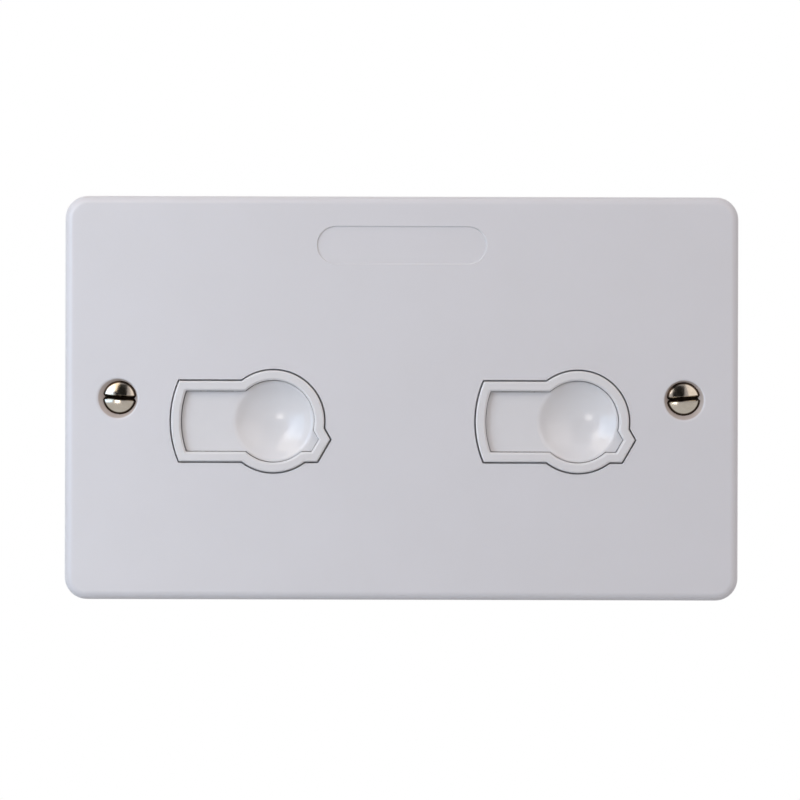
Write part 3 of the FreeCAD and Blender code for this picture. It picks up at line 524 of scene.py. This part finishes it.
def screw_tree():
    """Cuts the drive in a turned blank, winds its thread and sets it at each point.

    Each point's turn attribute is the screw's rotation. The blank's crown is at the origin and its
    shank runs along Y.
    """
    number = "NodeSocketFloat"
    tree, given = node_group("driven_screw", [
        ("Blank", "NodeSocketObject"), ("Finish", "NodeSocketMaterial"),
        ("Slot Width", number), ("Slot Depth", number), ("Slot Length", number),
        ("Cross", "NodeSocketBool"),
        ("Thread Radius", number), ("Thread Depth", number), ("Thread Start", number),
        ("Thread Length", number), ("Pitch", number), ("Worn", "NodeSocketBool"), ("Crown Radius", number),
        ("Wear", number),
    ])
    blank = add(tree, "GeometryNodeObjectInfo", {"Object": given["Blank"]}).outputs["Geometry"]
    double_depth = add(tree, "ShaderNodeMath", {0: given["Slot Depth"], 1: 2.0}, operation="MULTIPLY")
    across = add(
        tree, "ShaderNodeCombineXYZ",
        {"X": given["Slot Length"], "Y": double_depth.outputs[0], "Z": given["Slot Width"]}
    )
    slot = add(tree, "GeometryNodeMeshCube", {"Size": across.outputs["Vector"]}).outputs["Mesh"]
    slotted = add(
        tree, "GeometryNodeMeshBoolean", {"Mesh 1": blank, "Mesh 2": slot}, operation="DIFFERENCE",
        solver="EXACT"
    ).outputs["Mesh"]
    upright = add(
        tree, "GeometryNodeTransform", {"Geometry": slot, "Rotation": Euler((0, math.pi / 2, 0))}
    ).outputs["Geometry"]
    crossed = add(
        tree, "GeometryNodeMeshBoolean", {"Mesh 1": slotted, "Mesh 2": upright}, operation="DIFFERENCE",
        solver="EXACT"
    ).outputs["Mesh"]
    over_crown = add(
        tree, "GeometryNodeCurveArc",
        {"Resolution": 24, "Radius": given["Crown Radius"], "Start Angle": math.radians(-125),
         "Sweep Angle": math.radians(70)}
    )
    half_slot = add(tree, "ShaderNodeMath", {0: given["Slot Width"], 1: 0.5}, operation="MULTIPLY")
    worn_half = add(tree, "ShaderNodeMath", {0: half_slot.outputs[0], 1: given["Wear"]}, operation="ADD")
    diamond = add(
        tree, "GeometryNodeCurvePrimitiveCircle", {"Resolution": 4, "Radius": worn_half.outputs[0]},
        mode="RADIUS"
    )
    groove = add(
        tree, "GeometryNodeCurveToMesh",
        {"Curve": over_crown.outputs["Curve"], "Profile Curve": diamond.outputs["Curve"], "Fill Caps": True}
    )
    on_crown = add(tree, "ShaderNodeCombineXYZ", {"Y": given["Crown Radius"]})
    groove = add(
        tree, "GeometryNodeTransform",
        {"Geometry": groove.outputs["Mesh"], "Translation": on_crown.outputs["Vector"]}
    )
    worn = add(
        tree, "GeometryNodeMeshBoolean", {"Mesh 1": slotted, "Mesh 2": groove.outputs["Geometry"]},
        operation="DIFFERENCE", solver="EXACT"
    ).outputs["Mesh"]
    slotted = add(
        tree, "GeometryNodeSwitch", {"Switch": given["Worn"], "False": slotted, "True": worn},
        input_type="GEOMETRY"
    ).outputs["Output"]
    driven = add(
        tree, "GeometryNodeSwitch", {"Switch": given["Cross"], "False": slotted, "True": crossed},
        input_type="GEOMETRY"
    ).outputs["Output"]
    turns = add(
        tree, "ShaderNodeMath", {0: given["Thread Length"], 1: given["Pitch"]}, operation="DIVIDE"
    )
    middle = add(
        tree, "ShaderNodeMath", {0: given["Thread Radius"], 1: given["Thread Depth"]},
        operation="SUBTRACT"
    )
    helix, section = wound_wire(
        tree, middle.outputs[0], turns.outputs[0], given["Thread Length"], given["Thread Depth"], 24, 4
    )
    ridge = add(
        tree, "GeometryNodeCurveToMesh", {"Curve": helix, "Profile Curve": section, "Fill Caps": True}
    )
    start = add(tree, "ShaderNodeCombineXYZ", {"Y": given["Thread Start"]})
    thread = add(
        tree, "GeometryNodeTransform",
        {"Geometry": ridge.outputs["Mesh"], "Translation": start.outputs["Vector"]}
    )
    whole = add(tree, "GeometryNodeJoinGeometry")
    tree.links.new(driven, whole.inputs["Geometry"])
    tree.links.new(thread.outputs["Geometry"], whole.inputs["Geometry"])
    place = add(tree, "GeometryNodeInputPosition").outputs["Position"]
    marked = add(
        tree, "GeometryNodeStoreNamedAttribute",
        {"Geometry": whole.outputs["Geometry"], "Name": "turned_place", "Value": place},
        data_type="FLOAT_VECTOR", domain="POINT"
    )
    turn = add(tree, "GeometryNodeInputNamedAttribute", {"Name": "turn"}, data_type="FLOAT_VECTOR")
    rotation = add(tree, "FunctionNodeEulerToRotation", {"Euler": turn.outputs["Attribute"]})
    placed = add(
        tree, "GeometryNodeInstanceOnPoints",
        {"Points": given["Geometry"], "Instance": marked.outputs["Geometry"],
         "Rotation": rotation.outputs[0]}
    )
    return closed_tree(tree, placed.outputs["Instances"], given["Finish"])


def spring_tree():
    """Winds a compression spring with its end turns closed and sets it at each point."""
    number = "NodeSocketFloat"
    tree, given = node_group("compression_spring", [
        ("Finish", "NodeSocketMaterial"), ("Coil Radius", number), ("Wire Radius", number),
        ("Turns", number), ("Length", number),
    ])
    helix, section = wound_wire(
        tree, given["Coil Radius"], given["Turns"], 0.0, given["Wire Radius"], 48, 16
    )
    along = add(tree, "GeometryNodeSplineParameter").outputs["Factor"]
    turn = add(tree, "ShaderNodeMath", {0: along, 1: given["Turns"]}, operation="MULTIPLY").outputs[0]
    wire = add(tree, "ShaderNodeMath", {0: given["Wire Radius"], 1: 2.0}, operation="MULTIPLY").outputs[0]
    last = add(tree, "ShaderNodeMath", {0: given["Turns"], 1: 1.0}, operation="SUBTRACT").outputs[0]
    both = add(tree, "ShaderNodeMath", {0: wire, 1: 3.0}, operation="MULTIPLY").outputs[0]
    open_length = add(
        tree, "ShaderNodeMath", {0: given["Length"], 1: both}, operation="SUBTRACT"
    ).outputs[0]
    first_rise = add(tree, "ShaderNodeMapRange", {"Value": turn, "From Max": 1.0, "To Max": wire})
    open_rise = add(
        tree, "ShaderNodeMapRange",
        {"Value": turn, "From Min": 1.0, "From Max": last, "To Max": open_length}
    )
    last_rise = add(
        tree, "ShaderNodeMapRange",
        {"Value": turn, "From Min": last, "From Max": given["Turns"], "To Max": wire}
    )
    rise = add(tree, "ShaderNodeMath", {0: first_rise.outputs[0], 1: open_rise.outputs[0]}, operation="ADD")
    rise = add(tree, "ShaderNodeMath", {0: rise.outputs[0], 1: last_rise.outputs[0]}, operation="ADD")
    offset = add(tree, "ShaderNodeCombineXYZ", {"Y": rise.outputs[0]})
    shaped = add(tree, "GeometryNodeSetPosition", {"Geometry": helix, "Offset": offset.outputs["Vector"]})
    coil = add(
        tree, "GeometryNodeCurveToMesh",
        {"Curve": shaped.outputs["Geometry"], "Profile Curve": section, "Fill Caps": True}
    )
    placed = add(
        tree, "GeometryNodeInstanceOnPoints",
        {"Points": given["Geometry"], "Instance": coil.outputs["Mesh"]}
    )
    return closed_tree(tree, placed.outputs["Instances"], given["Finish"])


def closed_tree(tree, instances, finish):
    """Ends a tree: its instances become real, smooth and finished."""
    real = add(tree, "GeometryNodeRealizeInstances", {"Geometry": instances})
    smooth = add(tree, "GeometryNodeSetShadeSmooth", {"Geometry": real.outputs["Geometry"]})
    painted = add(
        tree, "GeometryNodeSetMaterial", {"Geometry": smooth.outputs["Geometry"], "Material": finish}
    )
    add(tree, "NodeGroupOutput", {"Geometry": painted.outputs["Geometry"]})
    return tree


def made_by(tree, name, places, turns, sizes, node):
    """Piece that a tree makes at the places, in millimetres, to stand for a CAD node."""
    points = bpy.data.meshes.new(name + "_points")
    points.from_pydata([Vector(place) * MM for place in places], [], [])
    turn = points.attributes.new("turn", "FLOAT_VECTOR", "POINT")
    for item, value in zip(turn.data, turns):
        item.vector = value
    maker = bpy.data.objects.new(name + "_maker", points)
    bpy.context.collection.objects.link(maker)
    modifier = maker.modifiers.new("nodes", "NODES")
    modifier.node_group = tree
    given = dict(sizes, Finish=finishes[slot_of(node)])
    for socket in tree.interface.items_tree:
        if socket.in_out == "INPUT" and socket.name in given:
            value = given[socket.name]
            is_length = isinstance(value, float) and socket.name != "Turns"
            modifier[socket.identifier] = value * MM if is_length else value
    scene_now = bpy.context.evaluated_depsgraph_get()
    mesh = bpy.data.meshes.new_from_object(maker.evaluated_get(scene_now))
    mesh.name = name
    maker.modifiers.remove(modifier)
    bpy.data.objects.remove(maker)
    piece = bpy.data.objects.new(name, mesh)
    bpy.context.collection.objects.link(piece)
    stand_for(piece, node)
    return piece


def dome(radius, height, steps=14):
    """Profile of a dome from its crown to its rim."""
    ball = (radius**2 + height**2) / (2 * height)
    widest = math.asin(radius / ball)
    turns = [widest * step / steps for step in range(steps + 1)]
    return [(ball * math.sin(turn), ball * (1 - math.cos(turn))) for turn in turns]


def round_corner(radius, station, size, steps=4):
    """Quarter round from a flat face at a station to a side at a radius."""
    turns = [math.pi / 2 * step / steps for step in range(steps + 1)]
    return [
        (radius - size + size * math.sin(turn), station + size - size * math.cos(turn)) for turn in turns
    ]


def middles(boxes, station):
    """Places on the boxes' axes at each box's lowest or highest Y."""
    return [((low.x + high.x) / 2, (low, high)[station].y, (low.z + high.z) / 2) for low, high in boxes]


def screws(node, profile, boxes, from_room, angles, sizes):
    """The screws of a CAD node, from a turned profile, driven from the room or from behind."""
    blank = turned_blank(node + "_blank", profile)
    facing = 0.0 if from_room else math.pi
    turns = [Euler((0, math.radians(angle), facing)) for angle in angles]
    places = middles(boxes, 0 if from_room else 1)
    piece = made_by(driven_screw, node + "_fine", places, turns, dict(sizes, Blank=blank), node)
    bpy.data.objects.remove(blank)
    round_edges(piece, [(everywhere, SCREW_EDGE)], 2)


def fixing_screws():
    """Raised countersunk screws with a straight slot."""
    boxes = loose_boxes("fixing_screws")
    low, high = boxes[0]
    head = (high.x - low.x) / 2
    length = high.y - low.y
    thread_depth = 0.5 * FIXING_PITCH
    core = FIXING_THREAD_RADIUS - thread_depth
    crown = dome(head - HEAD_RIM_ROUND / 2, DOME_HEIGHT - HEAD_RIM_ROUND / 2)
    shoulder = DOME_HEIGHT + head - FIXING_SHANK_RADIUS
    thread_start = length - 0.5 - FIXING_THREAD_LENGTH
    profile = crown + [
        (head - 0.02, DOME_HEIGHT + 0.02), (head - 0.06, DOME_HEIGHT + HEAD_RIM_ROUND / 2),
        (FIXING_SHANK_RADIUS, shoulder), (FIXING_SHANK_RADIUS, thread_start), (core, thread_start + 0.1),
        (core, length - 0.5), (core - 0.3, length), (0, length),
    ]
    screws("fixing_screws", profile, boxes, True, FIXING_ANGLES, {
        "Slot Width": FIXING_SLOT[0], "Slot Depth": FIXING_SLOT[1], "Slot Length": 2 * head + 1,
        "Cross": False, "Thread Radius": FIXING_THREAD_RADIUS, "Thread Depth": thread_depth,
        "Thread Start": thread_start + 0.5, "Thread Length": FIXING_THREAD_LENGTH - 1,
        "Pitch": FIXING_PITCH, "Worn": True, "Wear": SLOT_WEAR,
        "Crown Radius": (head**2 + DOME_HEIGHT**2) / (2 * DOME_HEIGHT),
    })


def clamp_screws():
    """Slotted cheese-head screws of the terminals."""
    boxes = loose_boxes("terminal_screws")
    low, high = boxes[0]
    head = (high.x - low.x) / 2
    length = high.y - low.y
    thread_depth = 0.5 * CLAMP_PITCH
    core = CLAMP_THREAD_RADIUS - thread_depth
    underside = [(radius, CLAMP_HEAD_HEIGHT - station) for radius, station in round_corner(head, 0, 0.15)]
    profile = [(0, 0)] + round_corner(head, 0, 0.3) + underside[::-1] + [
        (core, CLAMP_HEAD_HEIGHT), (core, length - 0.4), (core - 0.35, length), (0, length),
    ]
    screws("terminal_screws", profile, boxes, False, CLAMP_ANGLES, {
        "Slot Width": CLAMP_SLOT[0], "Slot Depth": CLAMP_SLOT[1], "Slot Length": 2 * head + 1,
        "Cross": False, "Thread Radius": CLAMP_THREAD_RADIUS, "Thread Depth": thread_depth,
        "Thread Start": CLAMP_HEAD_HEIGHT + 0.3, "Thread Length": length - CLAMP_HEAD_HEIGHT - 0.8,
        "Pitch": CLAMP_PITCH,
    })


def cover_screws():
    """Thread-forming screws with cross recesses that hold the rear cover."""
    boxes = loose_boxes("cover_screws")
    low, high = boxes[0]
    head = (high.x - low.x) / 2
    length = high.y - low.y
    thread_depth = 0.3 * COVER_PITCH
    core = COVER_THREAD_RADIUS - thread_depth
    profile = [(0, 0)] + round_corner(head, 0, 0.7, 6) + [
        (head, COVER_HEAD_HEIGHT), (core, COVER_HEAD_HEIGHT), (core, length - 1.2), (0.25, length),
        (0, length),
    ]
    screws("cover_screws", profile, boxes, False, COVER_ANGLES, {
        "Slot Width": COVER_CROSS[0], "Slot Depth": COVER_CROSS[1], "Slot Length": COVER_CROSS[2],
        "Cross": True, "Thread Radius": COVER_THREAD_RADIUS, "Thread Depth": thread_depth,
        "Thread Start": COVER_HEAD_HEIGHT + 4, "Thread Length": length - COVER_HEAD_HEIGHT - 5.5,
        "Pitch": COVER_PITCH,
    })


def shutter_spring(gang):
    """Round-wire spring behind a shutter."""
    node = gang + "_shutter_spring"
    low, high = loose_boxes(node)[0]
    radius = (high.x - low.x - SPRING_WIRE) / 2
    place = ((low.x + high.x) / 2, low.y + SPRING_WIRE / 2, (low.z + high.z) / 2)
    piece = made_by(compression_spring, node + "_fine", [place], [(0, 0, 0)], {
        "Coil Radius": radius, "Wire Radius": SPRING_WIRE / 2, "Turns": SPRING_TURNS,
        "Length": high.y - low.y,
    }, node)
    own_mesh(piece)


def on_countersink(middle):
    """Edge of a countersink's mouth in the plate's face."""
    return middle.y < -8.9 and any(
        abs(Vector((middle.x - x, middle.z - z)).length - 4.4) < 0.6 for x, _, z in screw_places
    )


def plate_play(corner, _normal):
    """The plate hangs a little off its screws, so the countersinks' mouths aren't round the heads."""
    for side, (x, _, z) in zip((-1, 1), screw_places):
        if corner.y < -8.9 and Vector((corner.x - x, corner.z - z)).length < 4.6:
            return (-0.45, 0, -0.25) if side < 0 else (0.1, 0, -0.4)
    return (0, 0, 0)


def shutter_play(corner, normal):
    """Each shutter leans a little to the right, and its front edge fills more of the bore."""
    outwards = Vector((normal.x, 0, normal.z))
    if corner.y > SHUTTER_FRONT or outwards.length < 0.3:
        return (0.02, 0, 0)
    return Vector((0.02, 0, 0)) + outwards.normalized() * SHUTTER_SWELL


def on_recess(middle):
    """Edges of the pill-shaped recess."""
    return middle.y < -8.5 and middle.z > 28


driven_screw = screw_tree()
compression_spring = spring_tree()
screw_places = middles(loose_boxes("fixing_screws"), 0)

plate_lips = ((on_countersink, COUNTERSINK_LIP), (on_recess, RECESS_LIP))
fine_copy("front_plate", PLATE_EDGE, special=plate_lips, settle=plate_play)
for gang in GANGS:
    fine_copy(gang + "_well", RIM_EDGE)
    fine_copy(gang + "_shutter", SHUTTER_EDGE, settle=shutter_play)
    shutter_spring(gang)
    for pole in ("live", "neutral", "earth"):
        fine_copy(gang + "_" + pole + "_contact", STRIP_EDGE, 2)
    fine_copy(gang + "_earth_terminal", BLOCK_EDGE, 2)
for pole in ("live", "neutral"):
    fine_copy(pole + "_terminal", BLOCK_EDGE, 2)
    fine_copy(pole + "_bar", STRIP_EDGE, 2)
fine_copy("earth_strap", STRIP_EDGE, 2)
fine_copy("contact_carrier", REAR_EDGE, 2)
fine_copy("rear_cover", REAR_EDGE, 2)
fixing_screws()
clamp_screws()
cover_screws()


def backdrop():
    """White paper sweep behind and below the socket; its floor keeps the socket's shadow."""
    floor_z, wall_y, bend, half_width = -0.26, 0.9, 0.2, 1.6
    profile = [Vector((0, -1.6, floor_z)), Vector((0, wall_y - bend, floor_z))]
    for step in range(1, 12):
        turn = math.radians(90 * step / 12)
        along, up = bend * math.sin(turn), bend - bend * math.cos(turn)
        profile.append(Vector((0, wall_y - bend + along, floor_z + up)))
    profile.append(Vector((0, wall_y, floor_z + bend)))
    profile.append(Vector((0, wall_y, 1.6)))
    body = bmesh.new()
    rows = [
        [body.verts.new((side, point.y, point.z)) for point in profile]
        for side in (-half_width, half_width)
    ]
    for step in range(len(profile) - 1):
        body.faces.new((rows[0][step], rows[1][step], rows[1][step + 1], rows[0][step + 1]))
    mesh = bpy.data.meshes.new("sweep")
    body.to_mesh(mesh)
    body.free()
    mesh.shade_smooth()
    sweep = bpy.data.objects.new("sweep", mesh)
    bpy.context.collection.objects.link(sweep)
    material = bpy.data.materials.new("white_paper")
    material.use_nodes = True
    tree = material.node_tree
    tree.nodes.clear()
    seen = add(tree, "ShaderNodeLightPath")
    direct = add(
        tree, "ShaderNodeMath", {0: seen.outputs["Is Camera Ray"], 1: seen.outputs["Is Glossy Ray"]},
        operation="MAXIMUM"
    )
    direct = add(
        tree, "ShaderNodeMath", {0: direct.outputs[0], 1: seen.outputs["Is Transmission Ray"]},
        operation="MAXIMUM"
    )
    place = add(tree, "ShaderNodeTexCoord").outputs["Object"]
    rise = add(tree, "ShaderNodeSeparateXYZ", {"Vector": place}).outputs["Z"]
    glow = add(
        tree, "ShaderNodeMapRange",
        {"Value": rise, "From Min": floor_z, "From Max": floor_z + bend / 10, "To Min": 0.55,
         "To Max": 1.0}
    )
    share = add(
        tree, "ShaderNodeMath", {0: direct.outputs[0], 1: glow.outputs["Result"]}, operation="MULTIPLY"
    )
    paper = add(tree, "ShaderNodeBsdfDiffuse", {"Color": linear("#C8C8C8")})
    white = add(tree, "ShaderNodeEmission", {"Color": linear("#FFFFFF"), "Strength": 1.0})
    mixed = add(
        tree, "ShaderNodeMixShader", {0: share.outputs[0], 1: paper.outputs[0], 2: white.outputs[0]}
    )
    add(tree, "ShaderNodeOutputMaterial", {"Surface": mixed.outputs[0]})
    mesh.materials.append(material)


def towards(azimuth, elevation):
    """Unit vector from the socket to a direction in front of it."""
    across, up = math.radians(azimuth), math.radians(elevation)
    return Vector((math.sin(across) * math.cos(up), -math.cos(across) * math.cos(up), math.sin(up)))


def soft_box(name, azimuth, elevation, distance, width, height, lean, level, colour):
    """Rectangular soft box that faces the socket."""
    lamp = bpy.data.lights.new(name, "AREA")
    lamp.shape = "RECTANGLE"
    lamp.size = width * MM
    lamp.size_y = height * MM
    lamp.energy = level * math.pi * lamp.size * lamp.size_y
    lamp.color = linear(colour)[:3]
    stand = bpy.data.objects.new(name, lamp)
    bpy.context.collection.objects.link(stand)
    way = towards(azimuth, elevation)
    stand.location = way * distance * MM
    facing = (-way).to_track_quat("-Z", "Y").to_matrix() @ Euler((0, 0, math.radians(lean))).to_matrix()
    stand.rotation_euler = facing.to_euler()


def doorway():
    """Dark card that stands in for an unlit doorway across the room."""
    azimuth, elevation, distance, width, height = DOORWAY
    way = towards(azimuth, elevation)
    body = bmesh.new()
    corners = [(-width, -height), (width, -height), (width, height), (-width, height)]
    body.faces.new([body.verts.new((x * MM / 2, y * MM / 2, 0)) for x, y in corners])
    mesh = bpy.data.meshes.new("doorway")
    body.to_mesh(mesh)
    body.free()
    mesh.transform((-way).to_track_quat("Z", "Y").to_matrix().to_4x4())
    mesh.transform(Matrix.Translation(way * distance * MM))
    card = bpy.data.objects.new("doorway", mesh)
    bpy.context.collection.objects.link(card)
    card.visible_camera = False
    material, _, _ = surface("unlit_doorway", "#1A1816", {"Roughness": 1.0})
    mesh.materials.append(material)


def room_light():
    """Even light from all round."""
    world = bpy.data.worlds.new("room")
    bpy.context.scene.world = world
    world.use_nodes = True
    background = world.node_tree.nodes["Background"]
    background.inputs["Color"].default_value = linear(ROOM_COLOUR)
    background.inputs["Strength"].default_value = ROOM_LEVEL


def camera():
    """Camera straight in front of the plate."""
    view = bpy.data.cameras.new("camera")
    view.lens = CAMERA_LENS
    view.clip_start = 0.01
    stand = bpy.data.objects.new("camera", view)
    bpy.context.collection.objects.link(stand)
    stand.location = (CAMERA_X * MM, -CAMERA_DISTANCE * MM, CAMERA_Z * MM)
    stand.rotation_euler = (math.radians(90), math.radians(-CAMERA_LEAN), 0)
    bpy.context.scene.camera = stand


backdrop()
doorway()
room_light()
for box_name, settings in SOFT_BOXES.items():
    soft_box(box_name, *settings)
camera()
bpy.context.scene.view_settings.view_transform = "Standard"
